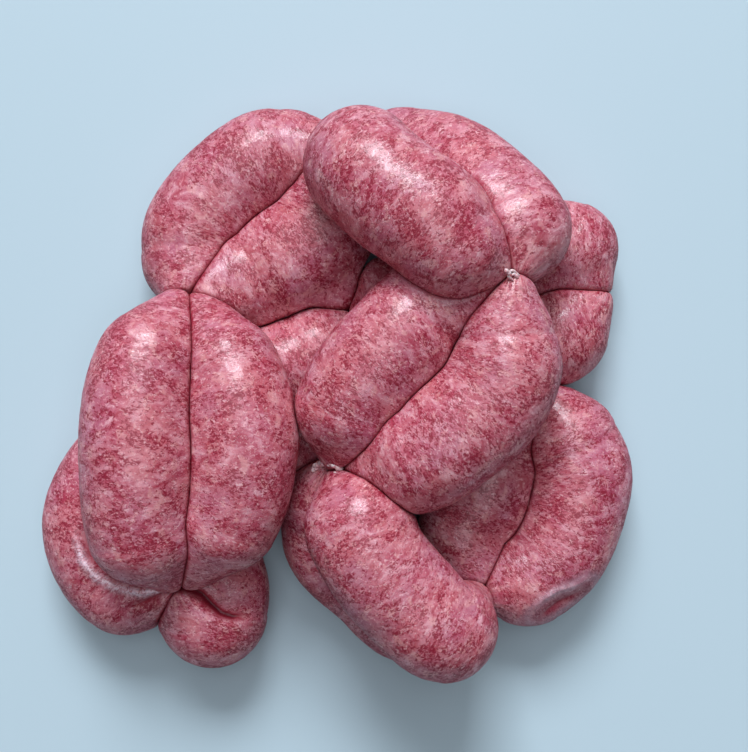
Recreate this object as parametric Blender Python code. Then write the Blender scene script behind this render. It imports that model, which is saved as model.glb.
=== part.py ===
"""A string of eighteen raw sausage links, twisted off in pairs, heaped up.

Metres, +Z up. The heap stands on z = 0 and its outline is centred on the axis.
Each link is a row of spheres along a bent middle line, nipped at both ends,
whose skin stops where a neighbour, a twist or the table presses on it.
"""

import math

import bmesh
import bpy
import numpy as np
from mathutils import Vector

# Driving dimensions, in millimetres.
SETTLE = 0.93  # the round links sag to this share of their height
SINK = 0.8  # how far a link lying on the table is flattened against it
NIP = 2.2  # radius of a link where it is twisted off
GAP = 0.7  # clearance kept where two links press together
KEEP = 1.3  # clearance kept round a twist
CREASE = 4.0  # rounding along the edge of a pressed face
LUMP = 0.45  # how far a link swells and shrinks from its even shape
LUMP_SPAN = 9.0  # the lumps' wavelength is about six times this
STEP = 2.0  # spacing of the spheres that fill a link
CENTRE = (1.35, 2.0, 0.0)  # the middle of the heap's outline, in the tables below

# How finely a link is faceted, and one that is bent double.
SIDES, BODY_RINGS, CAP_RINGS = 16, 6, 4
BENT_SIDES, BENT_BODY_RINGS, BENT_CAP_RINGS = 24, 8, 6

MEAT = ((0.60, 0.20, 0.20, 1.0), 0.32)  # colour and roughness of meat in its casing
CASING = ((0.78, 0.50, 0.46, 1.0), 0.40)  # of the empty, twisted casing

# Where the string is twisted off between two pairs, from one end to the other:
# the radius of the twisted casing and the path it takes.
TWISTS = {
    "twist_01": (1.6, [(96, 36, 20), (96, 34, 20)]),
    "twist_02": (1.6, [(8, 26, 20), (8, 24, 20)]),
    "twist_03": (1.6, [(-63, -17, 17), (-63, -19, 17)]),
    "twist_04": (1.6, [(-54, -66, 35), (-54, -68, 35)]),
    "twist_05": (1.6, [(-53, 33, 34), (-51, 31, 34)]),
    "twist_06": (1.6, [(8, 88, 26), (8, 86, 26)]),
    "twist_07": (1.9, [(58, 42, 62), (61, 40, 62.5), (64, 38, 61.5)]),
    "twist_08": (1.6, [(6, -28, 43), (2, -27, 43), (-2, -25, 42), (-6, -25, 38), (-8, -27, 34)]),
    "twist_09": (1.6, [(53, -70, 25), (53, -72, 25)]),
    "twist_10": (1.6, [(74, 1, 22), (74, -1, 22)]),
}

# The points where four links, or the last two, are drawn together.
KNOTS = {
    "k01": (96, 35, 20),
    "k02": (8, 25, 20),
    "k03": (-63, -18, 17),
    "k04": (-54, -67, 35),
    "k05": (-52, 32, 34),
    "k06": (8, 87, 26),
    "k07": (61, 40, 58),
    "k08": (3, -28, 39),
    "k09": (53, -71, 25),
    "k10": (74, 0, 22),
}

# Each link runs from one knot to the next along (x, y, height, radius) points.
# A point of height 0 belongs to a stretch that lies on the table.
LINKS = {
    "link_1a": ("k02", "k01", [(23, 34, 0, 16.3), (42, 44, 0, 17.5), (64, 50, 0, 17.5), (86, 52, 0, 17)]),
    "link_1b": ("k02", "k01", [(27, 14, 0, 16), (44, 15, 0, 17.3), (63, 18, 0, 17.5), (82, 21, 0, 17.2)]),
    "link_2a": ("k02", "k03", [(-7, 14, 0, 16.8), (-18, 9, 0, 17.4), (-29, 5, 0, 17.3), (-45, -3, 0, 16)]),
    "link_2b": (
        "k02", "k03",
        [(6, 0, 0, 15.8), (-6, -9, 0, 16.5), (-21, -15, 0, 16.5), (-42, -24, 0, 15.5)],
    ),
    "link_3a": (
        "k04", "k03",
        [(-76, -70, 0, 17.8), (-86, -57, 0, 18), (-87, -42, 0, 18), (-78, -25, 0, 17)],
    ),
    "link_3b": (
        "k04", "k03",
        [(-44, -80, 0, 19.4), (-42, -70, 0, 18), (-48, -53, 0, 17.3), (-56, -38, 0, 16)],
    ),
    "link_4a": (
        "k05", "k04",
        [(-63, 11, 45, 18.4), (-66, -6, 49, 19.5), (-66, -24, 50, 20), (-65, -47, 47, 18.6)],
    ),
    "link_4b": (
        "k05", "k04",
        [(-36, 9, 42, 17.2), (-32, -6, 46, 18.6), (-31, -23, 47, 19), (-36, -44, 45, 17.2)],
    ),
    "link_5a": (
        "k05", "k06",
        [(-52, 48, 0, 18), (-51, 59, 0, 18.2), (-41, 73, 0, 18.2), (-27, 84, 0, 17.9), (-17, 86, 0, 16.9)],
    ),
    "link_5b": (
        "k05", "k06",
        [(-31, 41, 18, 18.2), (-18, 48, 19, 19), (-6, 57, 19, 19), (1, 72, 18, 18.2)],
    ),
    "link_6a": (
        "k06", "k07",
        [(10, 78, 50, 20), (21, 67, 56, 20.3), (33, 58, 61, 19.8), (42, 49, 65, 17.6)],
    ),
    "link_6b": (
        "k06", "k07",
        [(25, 85, 0, 18.3), (40, 81, 26, 18.5), (53, 70, 38, 18.3), (64, 56, 48, 17.8)],
    ),
    "link_7a": ("k07", "k08", [(32, 29, 47, 17), (23, 19, 48, 18.5), (12, 7, 48, 18.5), (5, -5, 47, 17.3)]),
    "link_7b": (
        "k07", "k08",
        [(59, 19, 52, 16.5), (59, 9, 52, 19), (53, -3, 52, 19.4), (41, -14, 52, 19.4), (30, -22, 51, 18.3)],
    ),
    "link_8a": (
        "k08", "k09",
        [(9, -46, 49, 18.5), (15, -57, 50, 18.5), (25, -69, 49, 18.5), (39, -81, 46, 17.8)],
    ),
    "link_8b": (
        "k08", "k09",
        [(-3, -41, 22, 16), (-1, -56, 0, 17), (13, -69, 0, 17.2), (29, -82, 0, 16.8)],
    ),
    "link_9a": (
        "k09", "k10",
        [(70, -67, 0, 17.8), (82, -55, 0, 18.4), (89, -32, 0, 18.6), (85, -18, 0, 18)],
    ),
    "link_9b": (
        "k09", "k10",
        [(47, -52, 0, 17), (53, -39, 0, 17.6), (56, -26, 0, 17.6), (60, -14, 0, 16.5)],
    ),
}

# The link that is bent double: its first knot sits beside its middle line.
BENT = "link_3b"


def unit(v):
    """The vectors scaled to length one."""
    return v / np.linalg.norm(v, axis=-1, keepdims=True)


def spline(points, before, after, per):
    """A smooth curve through the points, leaving and arriving along the outer two."""
    p = np.vstack([before, points, after])
    t = np.linspace(0.0, 1.0, per, endpoint=False)[:, None]
    rows = []
    for i in range(1, len(p) - 2):
        a, b, c, d = p[i - 1 : i + 3]
        bend = (2 * a - 5 * b + 4 * c - d) * t**2 + (3 * b - a - 3 * c + d) * t**3
        rows.append(b + 0.5 * ((c - a) * t + bend))
    rows.append(points[-1:])
    return np.vstack(rows)


def taper(start, end):
    """Spheres from start up to but not including end, one every STEP."""
    count = max(2, int(np.linalg.norm(end[:3] - start[:3]) / STEP) + 1)
    return start + (end - start) * np.arange(count)[:, None] / count


class Link:
    """One link: its middle line, the spheres that fill it and where its ends point."""

    def __init__(self, name, number):
        first, last, way = LINKS[name]
        self.name = name
        self.phase = 1.7 * number
        way = np.array([(x, y, z or r - SINK, r) for x, y, z, r in way], float)
        knots = np.array([KNOTS[first] + (NIP,), KNOTS[last] + (NIP,)], float)
        before = knots[0] * (1, 1, 1, 0) + way[0] * (0, 0, 0, 1)
        after = knots[1] * (1, 1, 1, 0) + way[-1] * (0, 0, 0, 1)
        if name == BENT:
            before = 2 * way[0] - way[1]
        self.middle = spline(way, before, after, 12)
        self.aims = (before[:3] - way[0, :3], after[:3] - way[-1, :3])
        steps = np.linalg.norm(np.diff(self.middle[:, :3], axis=0), axis=1)
        self.run = np.concatenate([[0.0], np.cumsum(steps)])
        filled = self.along(np.arange(0.0, self.run[-1], STEP))
        self.balls = np.vstack([taper(knots[0], way[0]), filled, way[-1:], taper(knots[1], way[-1])])

    def along(self, distance):
        """The middle line's points and radii at these distances from its start."""
        columns = [np.interp(distance, self.run, self.middle[:, k]) for k in range(4)]
        return np.stack(columns, axis=-1)

    def depth(self, points):
        """The distance outside the link's own skin, negative inside it."""
        square = (points**2).sum(axis=1)[:, None] + (self.balls[:, :3] ** 2).sum(axis=1)
        square = square - 2 * points @ self.balls[:, :3].T
        even = (np.sqrt(np.maximum(square, 0.0)) - self.balls[:, 3]).min(axis=1)
        x, y, z = (points / LUMP_SPAN).T
        swell = np.sin(x + self.phase) * np.sin(y - 2 * self.phase)
        swell = swell + np.sin(1.7 * z + 0.6 * x + self.phase) * np.sin(1.3 * y + self.phase)
        return even + 0.5 * LUMP * swell

    def near(self, other):
        """Whether the two links come close enough to press on each other."""
        apart = np.linalg.norm(self.balls[:, None, :3] - other.balls[None, :, :3], axis=2)
        return (apart - self.balls[:, None, 3] - other.balls[None, :, 3]).min() < CREASE + 2


def twist_depth(path, radius, points):
    """The distance outside a twist of this radius along the path."""
    nearest = np.full(len(points), np.inf)
    for start, end in zip(path[:-1], path[1:]):
        way = end - start
        share = np.clip((points - start) @ way / (way @ way), 0.0, 1.0)
        apart = np.linalg.norm(points - start - share[:, None] * way, axis=1)
        nearest = np.minimum(nearest, apart)
    return nearest - radius


def soft_max(a, b, width):
    """The greater of two distances, rounded over this width where they cross."""
    blend = np.maximum(width - np.abs(a - b), 0.0)
    return np.maximum(a, b) + blend * blend / (4 * width)


def pressed_depth(link, others, points):
    """The distance outside the link once its neighbours, twists and table press on it."""
    own = link.depth(points)
    shape = own
    for other in others:
        shape = soft_max(shape, (own - other.depth(points) + GAP) / 2, CREASE)
    for radius, path in TWISTS.values():
        path = np.array(path, float)
        if np.linalg.norm(link.balls[:, :3] - path[0], axis=1).min() < 20:
            shape = soft_max(shape, KEEP - twist_depth(path, radius, points), 0.6)
    return np.maximum(shape, -points[:, 2])


def skin_points(link, others, origins, directions):
    """Where each ray from inside the link leaves it."""
    reach = np.zeros(len(origins))
    for _ in range(70):
        at = origins + reach[:, None] * directions
        reach = reach - 0.9 * pressed_depth(link, others, at)
    return origins + reach[:, None] * directions


def cap_turns(start, girth, throw, rings):
    """Angles off the knot for rings spaced evenly down a dome that tapers to a nip."""
    edge = math.acos(min(0.98, (girth - NIP) / throw))
    slope = math.sqrt(throw**2 - (girth - NIP) ** 2) / girth
    first = np.where(start > edge, -start, -edge + np.tan(np.maximum(edge - start, 0.0)))
    turns = []
    for k in range(1, rings + 1):
        gone = first + (slope - edge - first) * k / rings
        on_cone = edge - np.arctan(np.maximum(gone + edge, 0.0))
        turns.append(np.where(gone < -edge, -gone, on_cone))
    return turns


def body_rays(link, sides, rings):
    """For each ring along the middle, its centre and the directions across it."""
    angle = (np.arange(sides) + 0.5) * 2 * math.pi / sides
    at = np.linspace(0.0, link.run[-1], rings)
    centres = link.along(at)[:, :3]
    tangents = unit(link.along(at + 1.5)[:, :3] - link.along(at - 1.5)[:, :3])
    rows = []
    for centre, tangent in zip(centres, tangents):
        side = unit(np.cross(tangent, (0.0, 0.0, 1.0)))
        up = np.cross(side, tangent)
        across = np.cos(angle)[:, None] * up + np.sin(angle)[:, None] * side
        rows.append((np.tile(centre, (sides, 1)), across))
    return rows


def cap_rays(row, aim, girth, rings):
    """The rings of rays over one end, from its last ring across to its tip."""
    centres, across = row
    throw = max(float(np.linalg.norm(aim)), girth)
    aim = unit(aim)
    start = np.arccos(np.clip(across @ aim, -1.0, 1.0))
    rows = []
    for turn in cap_turns(start, girth, throw, rings):
        outward = (np.sin(turn) / np.sin(start))[:, None] * across
        rows.append((centres, outward + (np.sin(start - turn) / np.sin(start))[:, None] * aim))
    rows.append((centres[:1], aim[None]))
    return rows


def link_points(link, others, sides, body_rings, cap_rings):
    """The link's skin as one tip, rings of points and the other tip."""
    body = body_rays(link, sides, body_rings)
    head = cap_rays(body[0], link.aims[0], link.middle[0, 3], cap_rings)
    tail = cap_rays(body[-1], link.aims[1], link.middle[-1, 3], cap_rings)
    rows = head[::-1] + body + tail
    origins = np.vstack([row[0] for row in rows])
    directions = np.vstack([row[1] for row in rows])
    return skin_points(link, others, origins, directions)


def placed(points):
    """Points of the heap in metres, settled and centred."""
    return (np.asarray(points, float) * (1.0, 1.0, SETTLE) - CENTRE) / 1000


def material(name, look):
    """A plain Principled material."""
    colour, roughness = look
    made = bpy.data.materials.new(name)
    made.use_nodes = True
    shader = made.node_tree.nodes["Principled BSDF"]
    shader.inputs["Base Color"].default_value = colour
    shader.inputs["Roughness"].default_value = roughness
    shader.inputs["Metallic"].default_value = 0.0
    return made


def add(name, data, look, where, parent, collection):
    """An object of this data at its place under the string's empty."""
    data.materials.append(material(name + "_look", look))
    made = bpy.data.objects.new(name, data)
    made.location = Vector(where)
    made.parent = parent
    collection.objects.link(made)


def link_mesh(name, points, sides, rings):
    """A sphere whose rings are drawn out onto the link's skin."""
    shape = bmesh.new()
    bmesh.ops.create_uvsphere(shape, u_segments=sides, v_segments=rings + 1, radius=1.0)
    for vertex in shape.verts:
        ring = round(math.acos(max(-1.0, min(1.0, vertex.co.z))) * (rings + 1) / math.pi)
        side = round(math.atan2(vertex.co.y, vertex.co.x) * sides / (2 * math.pi)) % sides
        if ring == 0:
            vertex.co = points[0]
        elif ring == rings + 1:
            vertex.co = points[-1]
        else:
            vertex.co = points[1 + (ring - 1) * sides + side]
    bmesh.ops.recalc_face_normals(shape, faces=shape.faces)
    if shape.calc_volume(signed=True) < 0:
        bmesh.ops.reverse_faces(shape, faces=shape.faces)
    mesh = bpy.data.meshes.new(name)
    shape.to_mesh(mesh)
    shape.free()
    mesh.shade_smooth()
    return mesh


def twist_curve(name, points, radius):
    """A short tube along the twisted casing."""
    curve = bpy.data.curves.new(name, "CURVE")
    curve.dimensions = "3D"
    curve.bevel_depth = radius / 1000
    curve.bevel_resolution = 2
    curve.use_fill_caps = True
    line = curve.splines.new("POLY")
    line.points.add(len(points) - 1)
    for point, place in zip(line.points, points):
        point.co = (*place, 1.0)
    return curve


def main():
    """Clears the scene and builds the links and the twists between them."""
    for old in list(bpy.data.objects):
        bpy.data.objects.remove(old)
    collection = bpy.data.collections.new("sausage_string")
    bpy.context.scene.collection.children.link(collection)
    parent = bpy.data.objects.new("sausage_string", None)
    collection.objects.link(parent)

    links = [Link(name, number) for number, name in enumerate(LINKS)]
    for link in links:
        others = [other for other in links if other is not link and link.near(other)]
        counts = (SIDES, BODY_RINGS, CAP_RINGS)
        if link.name == BENT:
            counts = (BENT_SIDES, BENT_BODY_RINGS, BENT_CAP_RINGS)
        sides, body_rings, cap_rings = counts
        points = placed(link_points(link, others, *counts))
        where = points.mean(axis=0)
        mesh = link_mesh(link.name, points - where, sides, body_rings + 2 * cap_rings)
        add(link.name, mesh, MEAT, where, parent, collection)

    for name, (radius, path) in TWISTS.items():
        points = placed(path)
        where = points.mean(axis=0)
        add(name, twist_curve(name, points - where, radius), CASING, where, parent, collection)


main()
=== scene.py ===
"""A string of eighteen raw sausage links, twisted off in pairs and heaped up.

Each link is a row of spheres along a bent middle line, nipped at both ends. Its
skin stops where a neighbour presses on it, and carries lumps, pleats at the nips
and the folds of its casing. Millimetres are used until a mesh is placed.
"""

import math

import bpy
import numpy as np
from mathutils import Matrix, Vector, noise


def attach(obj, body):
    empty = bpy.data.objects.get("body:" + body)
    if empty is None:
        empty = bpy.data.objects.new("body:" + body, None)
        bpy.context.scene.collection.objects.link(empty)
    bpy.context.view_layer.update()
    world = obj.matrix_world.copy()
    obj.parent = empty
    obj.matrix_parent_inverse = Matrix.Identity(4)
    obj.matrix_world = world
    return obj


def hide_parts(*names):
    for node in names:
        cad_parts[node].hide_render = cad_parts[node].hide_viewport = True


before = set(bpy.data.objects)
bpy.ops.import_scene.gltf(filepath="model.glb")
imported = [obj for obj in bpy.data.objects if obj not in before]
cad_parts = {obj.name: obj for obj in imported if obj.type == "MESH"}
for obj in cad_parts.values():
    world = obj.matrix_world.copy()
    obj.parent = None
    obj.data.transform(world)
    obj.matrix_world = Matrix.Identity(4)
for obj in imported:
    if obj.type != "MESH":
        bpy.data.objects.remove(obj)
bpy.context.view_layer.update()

# Driving dimensions of the heap, in millimetres, as in the part's source but for lower lumps.
SETTLE = 0.93  # the round links sag to this share of their height
SINK = 0.8  # how far a link lying on the table is flattened against it
NIP = 2.2  # radius of a link where it is twisted off
LUMP = 0.16  # how far a link swells and shrinks from its even shape
LUMP_SPAN = 9.0  # the lumps' wavelength is about six times this
STEP = 2.0  # spacing of the spheres that fill a link
CENTRE = (1.35, 2.0, 0.0)  # the middle of the heap's outline, in the tables below

# The skin as it shows: links touch their neighbours along tight creases.
GAP = 0.02  # clearance kept where two links press together
CREASE = 1.1  # rounding along the edge of a pressed face
NEAR = 2.0  # links that are further apart than a crease and this don't touch
SWELL = 0.9  # how far a soft link swells towards a neighbour that nearly touches it
SWELL_SPAN = 4.5
FULL = 0.8  # how round a link's ends are: 1 is a plain cone, and a lower number is rounder
FULL_AT = {
    ("4a", "k05"): 0.62,
    ("4b", "k05"): 0.62,
    ("4a", "k04"): 0.88,
    ("4b", "k04"): 0.84,
    ("1a", "k01"): 0.9,
    ("1b", "k01"): 0.72,
    ("8a", "k09"): 1.0,
}

# How finely a link is made.
LINE_STEPS = 12  # points of its middle line from one of its own points to the next
SIDES = 128
BODY_RINGS = 77
CAP_RINGS = 40
TURN = 11.0  # half the stretch over which a ring's slant is averaged
COARSE = 4  # the skin is first found on every fourth ring and side
COARSE_TRIES = 60
FINE_TRIES = 7
STRIDE = 0.9  # the share of the distance to the skin that each try goes

# The pleats that run out from a nip, tight ones and wide ones: how many there are
# round it, how deep they are and how far out they reach.
TIGHT_PLEATS, TIGHT_DEEP, TIGHT_REACH = 16, 0.32, 8.0
WIDE_PLEATS, WIDE_DEEP, WIDE_REACH = 9, 0.16, 15.0

# A fold across its path: a slope with a narrow cleft in it, with painted shade where it is shut.
CLEFT = 0.4  # the cleft's share of the depth
CLEFT_REACH = 0.8
DARK_REACH = 1.3  # how far the dark of a shut fold, or of a crease, reaches
# The painted highlight on a raised rim's top reaches this far.
RIM_REACH = 1.5  # how far a raised rim's pale top reaches
SHALLOW, SHUT = 0.5, 3.5  # the depths at which a fold begins to shut and is shut
FOLD_FOOT = 8.0  # folds end at this height above the table
RISE = 8.0  # the height above its foot at which a fold or a slack place is whole

# The lumps of coarse mince under the skin: how high they are and how far apart.
MINCE_LUMPS = [(0.14, 6.5), (0.08, 2.8)]

# What the meat's colours follow.
DRAWN = (1.0, 0.55, 0.55)  # patches are drawn out round a link, not along it
NIP_REACH = 9.0  # how far out from a nip the casing is stretched tight
FAN_SPAN = 60.0  # how slowly the streaks round a nip change as they run out
SLACK_REACH = 5.5
SLACK_FOOT = 4.0  # the slack place ends at this height above the table
LUMP_SHIFT, GRAIN_SHIFT = 40.0, 37.0  # these set each link's lumps and pattern apart

# A strand of wrung casing.
STRAND_SIDES = 36
STRAND_STEPS = 40  # rings from one point of its path to the next
WRING = 9.0  # the length over which it turns once
FURROW = 0.24  # how deep the furrows between its three lobes are, as a share of its radius
CRUMPLE, CRUMPLE_SPAN = 0.22, 1.1  # how far it is crumpled, and over what span
SEED = 7  # of the crumpling, which would otherwise be another one in each run

# The casing twisted between two pairs: strands, each its first and last radius and its path.
TWISTS = {
    "twist_01": [(1.6, 1.6, [(96, 36, 20), (96, 34, 20)])],
    "twist_02": [(1.6, 1.6, [(8, 26, 20), (8, 24, 20)])],
    "twist_03": [(1.6, 1.6, [(-63, -17, 17), (-63, -19, 17)])],
    "twist_04": [(1.0, 1.0, [(-54, -66.5, 33.5), (-54, -68, 33.5)])],
    "twist_05": [(0.8, 0.8, [(-53.2, 32.6, 34.2), (-50.8, 31.6, 34.2)])],
    "twist_06": [(1.6, 1.6, [(8, 88, 26), (8, 86, 26)])],
    "twist_07": [
        (0.7, 0.75, [(57.2, 41.1, 67.4), (58.3, 40.2, 66.4), (59.4, 39.4, 65.2)]),
        (0.5, 0.55, [(59.0, 40.9, 65.8), (60.4, 40.6, 64.6), (61.6, 39.8, 63.4), (62.4, 38.8, 62.8)]),
        (0.65, 0.5, [(59.4, 39.7, 64.6), (60.8, 39.4, 64.4), (62.2, 38.3, 63.4)]),
        (0.55, 0.45, [(58.2, 39.3, 65.0), (59.3, 38.3, 64.6), (60.4, 37.4, 64.2)]),
    ],
    "twist_08": [
        (1.0, 1.5, [(3.4, -26.2, 46.6), (2.0, -25.4, 48.6), (0.4, -24.3, 48.6), (-1.6, -23.7, 46.0),
                    (-3.8, -24.2, 41.8), (-6.0, -25.6, 38.6), (-7.4, -27.4, 37.6)]),
        (1.0, 0.35, [(0.2, -27.4, 47.8), (2.6, -27.3, 49.6), (5.8, -27.6, 52.0)]),
    ],
    "twist_09": [(1.6, 1.6, [(53, -70, 25), (53, -72, 25)])],
    "twist_10": [(1.6, 1.6, [(74, 1, 22), (74, -1, 22)])],
}

# The points where four links, or the last two, are drawn together.
KNOTS = {
    "k01": (96, 35, 20),
    "k02": (8, 25, 20),
    "k03": (-63, -18, 17),
    "k04": (-54, -67, 35),
    "k05": (-52, 32, 34),
    "k06": (8, 87, 26),
    "k09": (53, -71, 25),
    "k10": (74, 0, 22),
}

# At the other two knots the links end a little apart, each at a point of its own.
TIPS = {
    ("6a", "k07"): (57.2, 41.4, 58.5),
    ("6b", "k07"): (61.8, 41.2, 58.5),
    ("7a", "k07"): (58.6, 39.2, 58.0),
    ("7b", "k07"): (61.2, 38.6, 59.5),
    ("7a", "k08"): (2.2, -25.6, 40.0),
    ("7b", "k08"): (3.4, -26.6, 40.5),
    ("8a", "k08"): (2.0, -28.2, 40.5),
    ("8b", "k08"): (-1.5, -27.4, 38.0),
}

# Each link runs from one knot to the next along (x, y, height, radius) points.
# A point of height 0 belongs to a stretch that lies on the table.
LINKS = {
    "1a": ("k02", "k01", [(23, 34, 0, 16.3), (42, 44, 0, 17.5), (64, 50, 0, 17.5), (86, 52, 0, 17)]),
    "1b": ("k02", "k01", [(27, 14, 0, 16), (44, 15, 0, 17.3), (63, 18, 0, 17.5), (82, 21, 0, 17.2)]),
    "2a": ("k02", "k03", [(-7, 14, 0, 16.8), (-18, 9, 0, 17.4), (-29, 5, 0, 17.3), (-45, -3, 0, 16)]),
    "2b": ("k02", "k03", [(6, 0, 0, 15.8), (-6, -9, 0, 16.5), (-21, -15, 0, 16.5), (-42, -24, 0, 15.5)]),
    "3a": ("k04", "k03", [(-76, -70, 0, 17.8), (-86, -57, 0, 18), (-87, -42, 0, 18), (-78, -25, 0, 17)]),
    "3b": ("k04", "k03", [(-44, -80, 0, 19.4), (-42, -70, 0, 18), (-48, -53, 0, 17.3), (-56, -38, 0, 16)]),
    "4a": (
        "k05", "k04",
        [(-63, 11, 45, 18.4), (-66, -6, 49, 19.5), (-66, -24, 50, 20), (-65, -47, 47, 18.6)],
    ),
    "4b": (
        "k05", "k04",
        [(-36, 9, 42, 17.2), (-32, -6, 46, 18.6), (-31, -23, 47, 19), (-36, -44, 45, 17.2)],
    ),
    "5a": (
        "k05", "k06",
        [(-52, 48, 0, 18), (-51, 59, 0, 18.2), (-41, 73, 0, 18.2), (-27, 84, 0, 17.9), (-17, 86, 0, 16.9)],
    ),
    "5b": ("k05", "k06", [(-31, 41, 18, 18.2), (-18, 48, 19, 19), (-6, 57, 19, 19), (1, 72, 18, 18.2)]),
    "6a": (
        "k06", "k07",
        [(10, 78, 49.4, 20), (21, 67, 56.4, 20.3), (33, 58, 60.6, 19.8), (40.5, 49, 62, 17)],
    ),
    "6b": ("k06", "k07", [(25, 85, 0, 18.3), (40, 81, 26, 18.5), (53, 70, 38, 18.3), (64, 56, 48, 17.8)]),
    "7a": ("k07", "k08", [(32, 29, 47, 17), (23, 19, 48, 18.5), (12, 7, 48, 18.5), (5, -5, 47, 17.3)]),
    "7b": (
        "k07", "k08",
        [(59, 19, 52, 16.5), (59, 9, 52, 19), (53, -3, 52, 19.4), (41, -14, 52, 19.4), (30, -22, 51, 18.3)],
    ),
    "8a": (
        "k08", "k09",
        [(9, -46, 49, 18.5), (15, -57, 50, 18.5), (25, -69, 49, 18.5), (39, -81, 46, 17.8)],
    ),
    "8b": ("k08", "k09", [(-3, -41, 22, 16), (-1, -56, 0, 17), (13, -69, 0, 17.2), (29, -82, 0, 16.8)]),
    "9a": ("k09", "k10", [(70, -67, 0, 17.8), (82, -55, 0, 18.4), (89, -32, 0, 18.6), (85, -18, 0, 18)]),
    "9b": ("k09", "k10", [(47, -52, 0, 17), (53, -39, 0, 17.6), (56, -26, 0, 17.6), (60, -14, 0, 16.5)]),
}
BENT = "3b"  # bent double: its first knot sits beside its middle line
SAGS = {"5b": (1.0, 37.5, 15.0, 9.5)}  # a ball that bulges a soft link into the space beside it
SAG_BLEND = 6.0  # rounding where the ball joins the link

# Folds in the skin, seen from above: how far each reaches to the left and to the right of
# its path, and (x, y, depth) along it. A raised rim has a depth below 0.
FOLDS = {
    "3b": [
        (6.5, 1.8, [(-54, -67.5, 6.0), (-50.4, -68.4, 6.4), (-46.4, -70.6, 6.2), (-43.0, -74.2, 5.6),
                    (-39.6, -77.2, 4.8), (-35.6, -78.6, 3.4), (-29, -78.6, 0.0)]),
    ],
    "3a": [
        (2.0, 2.6, [(-57, -68.5, 2.2), (-65.8, -72.9, 2.0), (-70, -74.8, 1.3), (-76, -76.5, 0.0)]),
        (2.4, 1.4, [(-89, -46, 0.0), (-88, -50, 1.5), (-85.3, -57, 2.2), (-76.6, -64.0, 2.8),
                    (-70.7, -65.4, 2.8), (-64.7, -66.0, 2.8), (-57.5, -65.6, 2.4)]),
        (1.7, 1.7, [(-91, -46, 0.0), (-90.3, -50.7, -0.6), (-88.2, -58.5, -1.1), (-83.5, -64.6, -1.3),
                    (-78, -67.6, -1.4), (-72, -69, -1.5), (-66.4, -69.8, -1.4), (-58.3, -67.8, -0.9)]),
    ],
    "9a": [
        (3.4, 3.4, [(73, -79.5, 0.6), (76.5, -76.3, 1.5), (80.5, -73.6, 1.8), (85.5, -71.2, 1.2),
                    (90, -69, 0.0)]),
        (0.9, 0.9, [(69.5, -77.5, 0.0), (73.7, -72.6, -0.6), (78.3, -69.8, -0.7), (85.2, -68, -0.6),
                    (92, -64.5, 0.0)]),
    ],
}
SLACK_LINK = "9a"  # its first fold is a slack place, where the casing stands off the meat

# Colours of the meat, painted shade and painted highlight among them, and of the empty casing.
MINCE = [
    (0.36, (0.360, 0.044, 0.076)),
    (0.50, (0.490, 0.130, 0.174)),
    (0.64, (0.610, 0.275, 0.318)),
]
WARM = (0.578, 0.177, 0.175)
COOL = (0.414, 0.130, 0.205)
DEEP = (0.414, 0.037, 0.070)
FAT = (0.676, 0.322, 0.310)
CHIP = (0.780, 0.450, 0.470)
LEAN = (0.235, 0.008, 0.026)
FILM = (0.458, 0.281, 0.340)
# Painted shade at the bottom of the slack hollow.
HOLLOW_SHADE = (0.174, 0.026, 0.060)
STRETCHED = (0.719, 0.354, 0.360)
# Painted shade in the creases where links press together.
CREASE_SHADE = (0.283, 0.012, 0.028)
# A painted highlight on raised rims.
RIM_HIGHLIGHT = (0.90, 0.68, 0.76)
# Near-black painted shade in shut folds.
SHUT_FOLD_SHADE = (0.07, 0.004, 0.010)
CASING = [
    (0.35, (0.50, 0.20, 0.23)),
    (0.50, (0.70, 0.42, 0.44)),
    (0.65, (0.85, 0.68, 0.67)),
]
WHITE = (1.0, 1.0, 1.0)
BLACK = (0.0, 0.0, 0.0)

# The room, in metres.
DAYLIGHT = (0.86, 0.93, 1.0)
HEAP_MIDDLE = (0.0, 0.0, 0.03)
TABLE_REACH = 12.0


def unit(v):
    """The vectors scaled to length one."""
    return v / np.linalg.norm(v, axis=-1, keepdims=True)


def spline(points, before, after, per):
    """A smooth curve through the points, leaving and arriving along the outer two."""
    p = np.vstack([before, points, after])
    t = np.linspace(0.0, 1.0, per, endpoint=False)[:, None]
    rows = []
    for i in range(1, len(p) - 2):
        a, b, c, d = p[i - 1 : i + 3]
        bend = (2 * a - 5 * b + 4 * c - d) * t**2 + (3 * b - a - 3 * c + d) * t**3
        rows.append(b + 0.5 * ((c - a) * t + bend))
    rows.append(points[-1:])
    return np.vstack(rows)


def taper(start, end, full):
    """Spheres from start up to but not including end, one every STEP."""
    count = max(2, int(np.linalg.norm(end[:3] - start[:3]) / STEP) + 1)
    share = np.arange(count)[:, None] / count
    return start + (end - start) * np.hstack([share, share, share, share**full])


def row_depth(balls, points):
    """The distance outside the tube that a row of spheres stands for."""
    square = (points**2).sum(axis=1)[:, None] + (balls[:, :3] ** 2).sum(axis=1)
    square = square - 2 * points @ balls[:, :3].T
    apart = np.sqrt(np.maximum(square, 0.0)) - balls[:, 3]
    nearest = np.clip(apart.argmin(axis=1), 1, len(balls) - 2)[:, None]
    a = np.take_along_axis(apart, nearest - 1, 1)[:, 0]
    b = np.take_along_axis(apart, nearest, 1)[:, 0]
    c = np.take_along_axis(apart, nearest + 1, 1)[:, 0]
    bend = np.maximum(a - 2 * b + c, 1e-6)
    shift = np.clip((a - c) / (2 * bend), -1.0, 1.0)
    return b + (c - a) / 2 * shift + bend / 2 * shift**2


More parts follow.
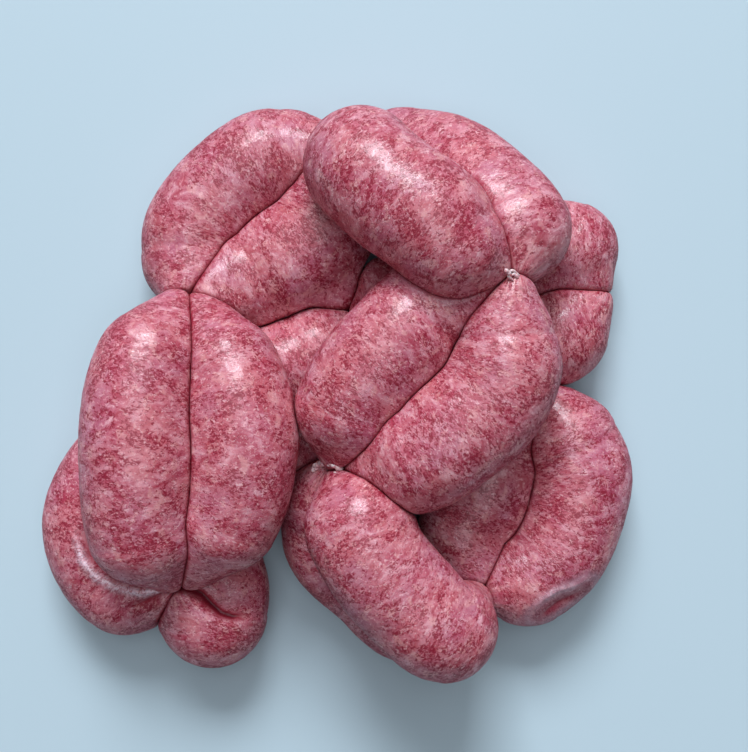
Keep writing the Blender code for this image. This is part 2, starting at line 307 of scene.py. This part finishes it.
def line_distance(path, points):
    """The distance from a flat path, the share of the way along it and whether it is to the left."""
    nearest = np.full(len(points), np.inf)
    share, left = np.zeros((2, len(points)))
    count = len(path) - 1
    for i in range(count):
        way = path[i + 1] - path[i]
        off = points - path[i]
        t = np.clip(off @ way / (way @ way), 0.0, 1.0)
        apart = np.linalg.norm(off - t[:, None] * way, axis=1)
        side = way[0] * off[:, 1] - way[1] * off[:, 0]
        share = np.where(apart < nearest, (i + t) / count, share)
        left = np.where(apart < nearest, side > 0, left)
        nearest = np.minimum(nearest, apart)
    return nearest, share, left


def fade(x):
    """A smooth step from 0 to 1."""
    x = np.clip(x, 0.0, 1.0)
    return x * x * (3 - 2 * x)


def above(points, foot):
    """0 for points up to this height, and 1 once they are well above it."""
    return fade((points[:, 2] - foot) / RISE)


def bell(distance, reach):
    """1 at no distance, dying away past this reach."""
    return np.exp(-((distance / reach) ** 2))


def soft_max(a, b, width):
    """The greater of two distances, rounded over this width where they cross."""
    blend = np.maximum(width - np.abs(a - b), 0.0)
    return np.maximum(a, b) + blend * blend / (4 * width)


class Link:
    """One link: its middle line, the spheres that fill it and where its ends point."""

    def __init__(self, name, number):
        first, last, way = LINKS[name]
        self.name = name
        self.phase = 1.7 * number  # so that no two links have the same lumps and pattern
        way = np.array([(x, y, z or r - SINK, r) for x, y, z, r in way], float)
        knots = [TIPS.get((name, knot)) or KNOTS[knot] for knot in (first, last)]
        knots = np.array([knot + (NIP,) for knot in knots], float)
        before = knots[0] * (1, 1, 1, 0) + way[0] * (0, 0, 0, 1)
        after = knots[1] * (1, 1, 1, 0) + way[-1] * (0, 0, 0, 1)
        if name == BENT:
            before = 2 * way[0] - way[1]
        self.middle = spline(way, before, after, LINE_STEPS)
        self.aims = (before[:3] - way[0, :3], after[:3] - way[-1, :3])
        self.knots = knots[:, :3]
        self.toward = unit(way[[0, -1], :3] - knots[:, :3])
        steps = np.linalg.norm(np.diff(self.middle[:, :3], axis=0), axis=1)
        self.run = np.concatenate([[0.0], np.cumsum(steps)])
        filled = self.along(np.arange(0.0, self.run[-1], STEP))
        full = [FULL_AT.get((name, knot), FULL) for knot in (first, last)]
        starts, ends = taper(knots[0], way[0], full[0]), taper(knots[1], way[-1], full[1])
        self.balls = np.vstack([starts, filled, way[-1:], ends[::-1]])

    def along(self, distance):
        """The middle line's points and radii at these distances from its start."""
        columns = [np.interp(distance, self.run, self.middle[:, k]) for k in range(4)]
        return np.stack(columns, axis=-1)

    def depth(self, points):
        """The distance outside the link's own plain skin, negative inside it."""
        x, y, z = (points / LUMP_SPAN).T
        swell = np.sin(x + self.phase) * np.sin(y - 2 * self.phase)
        swell = swell + np.sin(1.7 * z + 0.6 * x + self.phase) * np.sin(1.3 * y + self.phase)
        depth = row_depth(self.balls, points) + 0.5 * LUMP * swell
        if self.name in SAGS:
            *middle, radius = SAGS[self.name]
            depth = -soft_max(-depth, radius - np.linalg.norm(points - middle, axis=1), SAG_BLEND)
        return depth

    def near(self, other):
        """Whether the two links come close enough to press on each other."""
        apart = np.linalg.norm(self.balls[:, None, :3] - other.balls[None, :, :3], axis=2)
        return (apart - self.balls[:, None, 3] - other.balls[None, :, 3]).min() < CREASE + NEAR

    def round_nip(self, end, points):
        """Each point's distance from one of the link's two nips, and its angle round the link there."""
        away = points - self.knots[end]
        axis = self.toward[end]
        side = unit(np.cross(axis, (0.31, 0.17, 0.94)))
        up = np.cross(axis, side)
        return np.linalg.norm(away, axis=1), np.arctan2(away @ up, away @ side)

    def pleats(self, points):
        """How deep the pleats at the two nips cut into the skin."""
        cut = np.zeros(len(points))
        for end in range(2):
            far, turn = self.round_nip(end, points)
            shift = self.phase + 2.1 * end
            turn = turn + 0.16 * np.sin(2 * turn + shift) + 0.07 * np.sin(5 * turn - 2 * shift) + 0.012 * far
            strength = 0.65 + 0.35 * np.sin(3 * turn + 1.3 * shift)
            tight = 1 - np.abs(np.sin(TIGHT_PLEATS / 2 * turn + shift))
            wide = 1 - np.abs(np.sin(WIDE_PLEATS / 2 * turn - shift))
            cut = cut + TIGHT_DEEP * strength * tight**1.5 * bell(far, TIGHT_REACH)
            cut = cut + WIDE_DEEP * strength * wide**3 * bell(far, WIDE_REACH)
        return cut

    def fan(self, points):
        """Where each point is round its nearer nip, for streaks that run out from the nip."""
        fars, fans = [], []
        for end in range(2):
            far, turn = self.round_nip(end, points)
            fars.append(far)
            fans.append(np.stack([np.cos(turn), np.sin(turn), far / FAN_SPAN + end], axis=1))
        return np.where((fars[0] < fars[1])[:, None], fans[0], fans[1])

    def folds(self, points):
        """What the link's own folds do at each point: how deep they cut into the skin, how shut
        they are, up to 2, which sets their painted shade, and how near a raised rim is, up to 1,
        which sets its painted highlight."""
        cut, dark, rim = np.zeros((3, len(points)))
        for left_reach, right_reach, way in FOLDS.get(self.name, []):
            path = np.array(way, float)
            apart, share, left = line_distance(path[:, :2], points[:, :2])
            reach = np.where(left, left_reach, right_reach)
            deep = np.interp(share, np.linspace(0, 1, len(path)), path[:, 2])
            deep = deep * above(points, FOLD_FOOT)
            cut = cut + deep * ((1 - CLEFT) * bell(apart, reach) + CLEFT * np.exp(-apart / CLEFT_REACH))
            shut = 2 * np.clip((deep - SHALLOW) / (SHUT - SHALLOW), 0, 1)
            dark = np.maximum(dark, shut * bell(apart, DARK_REACH))
            rim = np.maximum(rim, np.clip(-deep, 0, 1) ** 2.5 * bell(apart, RIM_REACH))
        return cut, dark, rim


def pressed_depth(link, others, points):
    """The distance outside the link once its neighbours and the table press on it."""
    own = link.depth(points)
    theirs = [other.depth(points) for other in others]
    nearest = np.min(theirs, axis=0)
    swell = SWELL * bell(np.maximum(nearest, 0.0), SWELL_SPAN)
    shape = own - swell + link.pleats(points) + link.folds(points)[0]
    for depth in theirs:
        shape = soft_max(shape, (own - depth + GAP) / 2, CREASE)
    return np.maximum(shape, -points[:, 2])


def skin_reach(link, others, origins, directions, reach, tries):
    """How far each ray from inside the link goes before it leaves it."""
    for _ in range(tries):
        at = origins + reach[:, None] * directions
        reach = reach - STRIDE * pressed_depth(link, others, at)
    return reach


def cap_turns(start, girth, throw, rings):
    """Angles off the knot for rings spaced evenly down a dome that tapers to a nip."""
    edge = math.acos((girth - NIP) / throw)
    slope = math.sqrt(throw**2 - (girth - NIP) ** 2) / girth
    first = np.where(start > edge, -start, -edge + np.tan(np.maximum(edge - start, 0.0)))
    turns = []
    for k in range(1, rings + 1):
        gone = first + (slope - edge - first) * k / rings
        on_cone = edge - np.arctan(np.maximum(gone + edge, 0.0))
        turns.append(np.where(gone < -edge, -gone, on_cone))
    return turns


def spokes(angle, up, side):
    """Directions at these angles round each ring."""
    angle = angle[:, None]
    return np.cos(angle) * up[:, None] + np.sin(angle) * side[:, None]


def link_rays(link):
    """Rays from inside the link, as grids of rings by sides, and each ring's own frame."""
    angle = (np.arange(SIDES) + 0.5) * 2 * math.pi / SIDES
    at = np.linspace(0.0, link.run[-1], BODY_RINGS)
    centres = link.along(at)[:, :3]
    tangents = unit(link.along(at + TURN)[:, :3] - link.along(at - TURN)[:, :3])
    side = unit(np.cross(tangents, (0.0, 0.0, 1.0)))
    up = np.cross(side, tangents)
    across = spokes(angle, up, side)
    frames = np.stack([centres, tangents, side, up], axis=1)
    origins = np.repeat(centres[:, None], SIDES, axis=1)
    blocks = [(origins, across, frames, at)]
    for end, ring in ((0, 0), (1, -1)):
        aim = link.aims[end]
        girth = link.middle[ring, 3]
        throw = max(float(np.linalg.norm(aim)), girth)
        aim = unit(aim)
        start = np.arccos(np.clip(across[ring] @ aim, -1.0, 1.0))
        rows = []
        for turn in cap_turns(start, girth, throw, CAP_RINGS):
            outward = (np.sin(turn) / np.sin(start))[:, None] * across[ring]
            rows.append(outward + (np.sin(start - turn) / np.sin(start))[:, None] * aim)
        rows = np.array(rows)
        block = (
            np.broadcast_to(centres[ring], rows.shape),
            rows,
            np.repeat(frames[ring][None], CAP_RINGS, axis=0),
            np.full(CAP_RINGS, at[ring]),
        )
        if end == 0:
            blocks.insert(0, tuple(part[::-1] for part in block))
        else:
            blocks.append(block)
    return [np.concatenate(parts) for parts in zip(*blocks)]


def finer(grid, rings, sides):
    """A coarse grid of reaches spread over all the rings and sides."""
    wrapped = np.concatenate([grid, grid[:, :1]], axis=1)
    at_ring = np.arange(rings) / COARSE
    at_side = np.arange(sides) / COARSE
    low = np.minimum(at_ring.astype(int), len(grid) - 2)
    part = (at_ring - low)[:, None]
    rows = wrapped[low] * (1 - part) + wrapped[low + 1] * part
    low = at_side.astype(int)
    part = at_side - low
    return rows[:, low] * (1 - part) + rows[:, low + 1] * part


def link_skin(link, others):
    """The link's skin as a grid of points, its two tips and its straightened grain."""
    origins, directions, frames, at = link_rays(link)
    rings = len(origins)
    coarse = (slice(None, None, COARSE), slice(None, None, COARSE))
    few = origins[coarse].reshape(-1, 3), directions[coarse].reshape(-1, 3)
    reach = skin_reach(link, others, *few, np.zeros(len(few[0])), COARSE_TRIES)
    reach = finer(reach.reshape(-1, SIDES // COARSE), rings, SIDES).ravel()
    full = origins.reshape(-1, 3), directions.reshape(-1, 3)
    reach = skin_reach(link, others, *full, reach, FINE_TRIES)
    grid = (full[0] + reach[:, None] * full[1]).reshape(rings, SIDES, 3)
    tips = [grid[0].mean(axis=0), grid[-1].mean(axis=0)]
    away = grid - frames[:, None, 0]
    grain = np.stack([(away * frames[:, None, k]).sum(axis=2) for k in (1, 2, 3)], axis=2)
    grain[:, :, 0] += at[:, None]
    return grid, tips, grain


def placed(points):
    """Points of the heap in metres, settled and centred."""
    return (np.asarray(points, float) * (1.0, 1.0, SETTLE) - CENTRE) / 1000


def add_mesh(name, vertices, faces, material, node):
    """A smooth mesh object that rides on the heap and stands for a node."""
    mesh = bpy.data.meshes.new(name)
    mesh.from_pydata(vertices.tolist(), [], faces)
    mesh.shade_smooth()
    mesh.materials.append(material)
    made = bpy.data.objects.new(name, mesh)
    bpy.context.scene.collection.objects.link(made)
    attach(made, "root")
    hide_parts(node)
    return made


def tube_faces(rings, sides):
    """Faces of a tube of rings of points, closed at its ends by the two points that follow them."""
    tip = rings * sides
    last = tip - sides
    faces = []
    for j in range(sides):
        k = (j + 1) % sides
        faces.append((tip, k, j))
        faces.append((tip + 1, last + j, last + k))
        faces.extend((i + j, i + k, i + k + sides, i + j + sides) for i in range(0, last, sides))
    return faces


def face_outward(vertices, faces):
    """The faces, turned round if they look inwards."""
    corners = np.array([face[:3] for face in faces])
    a, b, c = (vertices[corners[:, k]] - vertices.mean(axis=0) for k in range(3))
    if np.einsum("ij,ij->i", a, np.cross(b, c)).sum() < 0:
        return [face[::-1] for face in faces]
    return faces


def roughened(vertices, normals, link):
    """The skin with the lumps of coarse mince under it, kept off the table."""
    moved = []
    for place, normal in zip(vertices, normals):
        at = Vector(place * 1000) + Vector((link.phase * LUMP_SHIFT, 0, 0))
        high = sum(height * noise.noise(at / span) for height, span in MINCE_LUMPS)
        moved.append(place + normal * high / 1000)
    return np.maximum(moved, (-1.0, -1.0, 0.0))


def set_attribute(mesh, name, kind, values):
    """Stores one value per vertex on the mesh."""
    key = "vector" if kind == "FLOAT_VECTOR" else "value"
    layer = mesh.attributes.new(name, kind, "POINT")
    layer.data.foreach_set(key, np.ascontiguousarray(values, np.float32).ravel())


def slackness(link, points):
    """How slack the casing is at each point, up to 1."""
    if link.name != SLACK_LINK:
        return np.zeros(len(points))
    _, _, way = FOLDS[link.name][0]
    apart, _, _ = line_distance(np.array(way, float)[:, :2], points[:, :2])
    return bell(apart, SLACK_REACH) * above(points, SLACK_FOOT)


def mark_skin(mesh, link, others, points, grain):
    """Stores what the meat's colours follow: the mince's grain, how near each point is to a nip
    and its place round it, how slack the casing is, where skins touch (1) or a fold is shut (2),
    for painted shade there, and the raised rims, for a painted highlight."""
    far = np.minimum(*(np.linalg.norm(points - knot, axis=1) for knot in link.knots))
    apart = np.min([other.depth(points) for other in others], axis=0)
    _, dark, rim = link.folds(points)
    set_attribute(mesh, "grain", "FLOAT_VECTOR", grain + (GRAIN_SHIFT * link.phase, 0, 0))
    set_attribute(mesh, "nip", "FLOAT", bell(far, NIP_REACH))
    set_attribute(mesh, "fan", "FLOAT_VECTOR", link.fan(points))
    set_attribute(mesh, "slack", "FLOAT", slackness(link, points))
    # Painted shade goes in the creases where skins touch, and in shut folds.
    touch = bell(np.maximum(apart, 0.0), DARK_REACH)
    set_attribute(mesh, "touch", "FLOAT", np.maximum(touch, dark))
    set_attribute(mesh, "rim", "FLOAT", rim)


def add_link(link, others, material):
    """The link's mesh, with what its colours follow."""
    grid, tips, grain = link_skin(link, others)
    points = np.vstack([grid.reshape(-1, 3), tips])
    grain = np.vstack([grain.reshape(-1, 3), grain[0].mean(axis=0), grain[-1].mean(axis=0)])
    vertices = placed(points)
    faces = face_outward(vertices, tube_faces(len(grid), SIDES))
    made = add_mesh("sausage_" + link.name, vertices, faces, material, "link_" + link.name)
    mesh = made.data
    normals = np.zeros(len(vertices) * 3)
    mesh.vertices.foreach_get("normal", normals)
    mesh.vertices.foreach_set("co", roughened(vertices, normals.reshape(-1, 3), link).ravel())
    mesh.update()
    mark_skin(mesh, link, others, points, grain)


def crumpled(points):
    """The points moved a little to all sides, the same way in each run."""
    noise.seed_set(SEED)
    moves = [noise.noise_vector(Vector(point) / CRUMPLE_SPAN) for point in points]
    return points + CRUMPLE * np.array(moves)


def strand(first, last, path, phase):
    """The points and faces of one wrung strand of casing, with its first and last radius."""
    path = np.array(path, float)
    if len(path) == 2:  # lengthened by half at both ends
        path = np.vstack([path[0] * 1.5 - path[1] * 0.5, path[1] * 1.5 - path[0] * 0.5])
    line = spline(path, 2 * path[0] - path[1], 2 * path[-1] - path[-2], STRAND_STEPS)
    steps = np.linalg.norm(np.diff(line, axis=0), axis=1)
    run = np.concatenate([[0.0], np.cumsum(steps)])
    share = run / run[-1]
    tangents = unit(np.gradient(line, axis=0))
    side = unit(np.cross(tangents, (0.1, 0.2, 1.0)))
    up = np.cross(side, tangents)
    angle = np.arange(STRAND_SIDES) * 2 * math.pi / STRAND_SIDES
    wound = angle[None] - (run * 2 * math.pi / WRING)[:, None] + phase
    lobes = 1 - FURROW + FURROW * np.abs(np.cos(1.5 * wound)) ** 0.8
    radius = first + (last - first) * share
    width = 0.96 + 0.10 * np.sin(1.3 * run + phase) + 0.07 * np.sin(3.1 * run + 2 * phase)
    ends = np.sqrt(np.clip(np.minimum(share, 1 - share) * run[-1] / (1.1 * radius), 0.02, 1.0))
    reach = (radius * width * ends)[:, None] * lobes
    grid = line[:, None] + reach[:, :, None] * spokes(angle, up, side)
    points = np.vstack([grid.reshape(-1, 3), line[:1], line[-1:]])
    vertices = placed(crumpled(points))
    return vertices, face_outward(vertices, tube_faces(len(line), STRAND_SIDES))


def add_twist(name, strands, material):
    """The strands of casing wrung between two pairs of links."""
    points = np.zeros((0, 3))
    faces = []
    for number, (first, last, path) in enumerate(strands):
        more, rows = strand(first, last, path, 1.7 * number)
        faces.extend(tuple(corner + len(points) for corner in row) for row in rows)
        points = np.vstack([points, more])
    add_mesh("casing_" + name, points, faces, material, name)


def plug(tree, socket, value):
    """Gives a node's input a value, or links another node's output to it."""
    if isinstance(value, bpy.types.NodeSocket):
        tree.links.new(value, socket)
    else:
        socket.default_value = value


def node_maker(tree):
    """A helper that adds nodes to the tree. It takes each input by name, or as i and its number."""

    def make(kind, settings=None, **inputs):
        node = tree.nodes.new(kind)
        for key, value in (settings or {}).items():
            setattr(node, key, value)
        for key, value in inputs.items():
            numbered = key[0] == "i" and key[1:].isdigit()
            plug(tree, node.inputs[int(key[1:]) if numbered else key], value)
        return node

    return make


def new_material(name):
    """A material, and the helper that adds nodes to it."""
    material = bpy.data.materials.new(name)
    material.use_nodes = True
    return material, node_maker(material.node_tree)


def set_shader(material, inputs):
    """Gives the material's shader its inputs."""
    shader = material.node_tree.nodes["Principled BSDF"]
    for name, value in inputs.items():
        plug(material.node_tree, shader.inputs[name], value)


def marked(make, name, output="Fac"):
    """What the mesh stores under this name."""
    return make("ShaderNodeAttribute", {"attribute_name": name}).outputs[output]


def clouds(make, vector, span, detail=3.0, rough=0.6, distort=0.0):
    """Noise that varies over about this span."""
    fineness = {"Scale": 1 / span, "Detail": detail, "Roughness": rough, "Distortion": distort}
    return make("ShaderNodeTexNoise", Vector=vector, **fineness).outputs[0]


def maths(make, operation, *values):
    """The operation's result on these values."""
    inputs = {f"i{number}": value for number, value in enumerate(values)}
    return make("ShaderNodeMath", {"operation": operation}, **inputs).outputs[0]


def ramp(make, value, stops):
    """The value turned into a colour, by (value, colour) stops."""
    node = make("ShaderNodeValToRGB", i0=value)
    elements = node.color_ramp.elements
    while len(elements) < len(stops):
        elements.new(1.0)
    for element, (position, colour) in zip(elements, stops):
        element.position = position
        element.color = (*colour, 1.0)
    return node.outputs[0]


def levels(make, value, *stops):
    """The value turned into a grey, by (value, level) stops."""
    return ramp(make, value, [(position, (level, level, level)) for position, level in stops])


def painted(make, share, base, colour):
    """The base with this share of a plain colour over it."""
    node = make("ShaderNodeMix", {"data_type": "RGBA"}, i0=share, i6=base, i7=(*colour, 1.0))
    return node.outputs[2]


def mince_colour(make, grain, drawn, fleck):
    """Lean and fat in coarse mince, warmer and cooler from place to place."""
    base = ramp(make, clouds(make, drawn, 3.4, 4.0, 0.65, 0.8), MINCE)
    warm = levels(make, clouds(make, grain, 14.0, 2.0), (0.40, 0.0), (0.62, 0.35))
    base = painted(make, warm, base, WARM)
    cool = levels(make, clouds(make, grain, 19.0, 2.0), (0.5, 0.0), (0.66, 0.4))
    base = painted(make, cool, base, COOL)
    crowd = levels(make, clouds(make, drawn, 6.5, 2.0, 0.55, 1.0), (0.42, 0.0), (0.60, 1.0))
    base = painted(make, maths(make, "MULTIPLY", crowd, 0.30), base, DEEP)
    fat = levels(make, clouds(make, grain, 4.0, 1.0, 0.5, 0.4), (0.60, 0.0), (0.70, 0.45))
    base = painted(make, fat, base, FAT)
    chips = levels(make, fleck, (0.55, 0.0), (0.65, 0.6))
    base = painted(make, chips, base, CHIP)
    speck = clouds(make, drawn, 0.75, 3.0, 0.72, 0.8)
    lean = levels(make, maths(make, "MULTIPLY_ADD", crowd, 0.12, speck), (0.57, 0.0), (0.65, 1.0))
    return painted(make, maths(make, "MULTIPLY", lean, 0.90), base, LEAN)


def slack_colour(make, base):
    """The base where the casing is slack: a pale film round a hollow with painted shade in it."""
    slack = marked(make, "slack")
    film = levels(make, slack, (0.15, 0.0), (0.45, 0.5), (0.72, 0.4), (0.95, 0.0))
    base = painted(make, film, base, FILM)
    # Painted shade at the bottom of the hollow.
    hollow = levels(make, slack, (0.75, 0.0), (1.0, 0.4))
    return painted(make, hollow, base, HOLLOW_SHADE)


def meat_material():
    """Coarse raw mince seen through a thin, wet casing."""
    material, make = new_material("meat")
    grain = marked(make, "grain", "Vector")
    drawn = make("ShaderNodeVectorMath", {"operation": "MULTIPLY"}, i0=grain, i1=DRAWN).outputs[0]
    fleck = clouds(make, drawn, 0.9, 3.0, 0.7, 0.9)
    nip = marked(make, "nip")
    streak = clouds(make, marked(make, "fan", "Vector"), 0.15, 2.0, 0.5)
    touch = marked(make, "touch")
    shut = maths(make, "SUBTRACT", touch, 1.0)
    broken = levels(make, fleck, (0.42, 0.25), (0.54, 1.0))
    rim = maths(make, "MULTIPLY", marked(make, "rim"), broken)

    base = slack_colour(make, mince_colour(make, grain, drawn, fleck))
    tight = levels(make, streak, (0.50, 0.0), (0.60, 1.0))
    tight = maths(make, "MULTIPLY", tight, maths(make, "MULTIPLY", nip, 0.7))
    base = painted(make, tight, base, STRETCHED)
    # Painted shade in the creases where skins touch.
    base = painted(make, maths(make, "MULTIPLY", touch, 0.75), base, CREASE_SHADE)
    # A painted highlight on raised rims.
    base = painted(make, maths(make, "MULTIPLY", rim, 0.8), base, RIM_HIGHLIGHT)
    # Near-black painted shade in shut folds.
    base = painted(make, maths(make, "MULTIPLY", shut, 0.85), base, SHUT_FOLD_SHADE)

    # The wet film shines less as a link turns away, until its very edge. It shines most on a
    # raised rim and not at all in a shut fold.
    edge = make("ShaderNodeLayerWeight", Blend=0.5).outputs["Facing"]
    gloss = levels(make, edge, (0.35, 0.24), (0.75, 0.10), (0.93, 0.05), (0.985, 0.35))
    gloss = painted(make, rim, gloss, WHITE)
    gloss = painted(make, shut, gloss, BLACK)

    fine = clouds(make, drawn, 0.8, 2.0, 0.6, 0.3)
    medium = clouds(make, grain, 2.2, 2.0)
    height = maths(make, "MULTIPLY_ADD", medium, 1.4, fine)
    ribs = maths(make, "MULTIPLY", maths(make, "MULTIPLY", streak, nip), 2.5)
    height = maths(make, "ADD", height, ribs)
    bumps = [
        make("ShaderNodeBump", Strength=strength, Distance=0.00022, Height=height).outputs[0]
        for strength in (0.55, 0.26)
    ]
    set_shader(material, {
        "Base Color": base,
        "Subsurface Weight": 0.18,
        "Subsurface Radius": (1.0, 0.30, 0.22),
        "Subsurface Scale": 0.001,
        "Specular IOR Level": levels(make, edge, (0.35, 0.28), (0.75, 0.05)),
        "Roughness": levels(make, clouds(make, grain, 3.0, 3.0), (0.35, 0.34), (0.65, 0.50)),
        "Normal": bumps[0],
        "Coat Weight": gloss,
        "Coat Roughness": 0.14,
        "Coat Normal": bumps[1],
    })
    return material


def casing_material():
    """Empty casing, twisted into a pale moist rope."""
    material, make = new_material("casing")
    place = make("ShaderNodeTexCoord").outputs["Object"]
    streak = make("ShaderNodeTexNoise", Vector=place, Scale=700.0, Detail=3.0).outputs[0]
    fine = make("ShaderNodeTexNoise", Vector=place, Scale=1400.0, Detail=2.0).outputs[0]
    set_shader(material, {
        "Base Color": ramp(make, streak, CASING),
        "Roughness": 0.38,
        "Subsurface Weight": 0.3,
        "Subsurface Radius": (1.0, 0.5, 0.4),
        "Subsurface Scale": 0.001,
        "Coat Weight": 0.5,
        "Coat Roughness": 0.15,
        "Normal": make("ShaderNodeBump", Strength=0.6, Distance=0.0002, Height=fine).outputs[0],
    })
    return material


def table_material():
    """A plain pale matt surface."""
    material, _ = new_material("table")
    set_shader(material, {
        "Base Color": (0.430, 0.525, 0.575, 1.0),
        "Roughness": 0.55,
        "Specular IOR Level": 0.3,
    })
    return material


def build_links():
    """All the links and the twists between them."""
    meat = meat_material()
    casing = casing_material()
    links = [Link(name, number) for number, name in enumerate(LINKS)]
    for link in links:
        others = [other for other in links if other is not link and link.near(other)]
        add_link(link, others, meat)
    for name, strands in TWISTS.items():
        add_twist(name, strands, casing)


def add_table():
    """The pale surface that the heap stands on, wide enough to fill every view."""
    mesh = bpy.data.meshes.new("table")
    corners = [(x * TABLE_REACH, y * TABLE_REACH, 0) for x, y in ((-1, -1), (1, -1), (1, 1), (-1, 1))]
    mesh.from_pydata(corners, [], [(0, 1, 2, 3)])
    mesh.materials.append(table_material())
    table = bpy.data.objects.new("table", mesh)
    bpy.context.scene.collection.objects.link(table)


def add_light(name, place, size, power):
    """A rectangle of daylight that faces the heap."""
    lamp = bpy.data.lights.new(name, "AREA")
    lamp.shape = "RECTANGLE"
    lamp.size, lamp.size_y = size
    lamp.energy = power
    lamp.color = DAYLIGHT
    made = bpy.data.objects.new(name, lamp)
    made.location = place
    toward = Vector(HEAP_MIDDLE) - Vector(place)
    made.rotation_euler = toward.to_track_quat("-Z", "Y").to_euler()
    bpy.context.scene.collection.objects.link(made)


def add_lights():
    """Daylight from a high window and the sky round it, a soft ceiling and a dim room."""
    add_light("window", (-0.35, 4.50, 3.97), (2.6, 2.1), 425.0)
    add_light("sky", (0.0, 4.20, 4.30), (6.5, 5.0), 110.0)
    add_light("ceiling", (0.0, 0.0, 6.00), (4.8, 4.8), 155.0)
    world = bpy.data.worlds.new("room")
    world.use_nodes = True
    background = world.node_tree.nodes["Background"]
    background.inputs["Color"].default_value = (0.80, 0.90, 1.0, 1.0)
    background.inputs["Strength"].default_value = 0.04
    bpy.context.scene.world = world


def add_camera():
    """Straight above the heap."""
    data = bpy.data.cameras.new("camera")
    data.lens = 63.8
    data.clip_start = 0.01
    camera = bpy.data.objects.new("camera", data)
    camera.location = (0.0129, 0.0040, 0.500)
    bpy.context.scene.collection.objects.link(camera)
    bpy.context.scene.camera = camera


build_links()
add_table()
add_lights()
add_camera()
bpy.context.scene.view_settings.view_transform = "Standard"
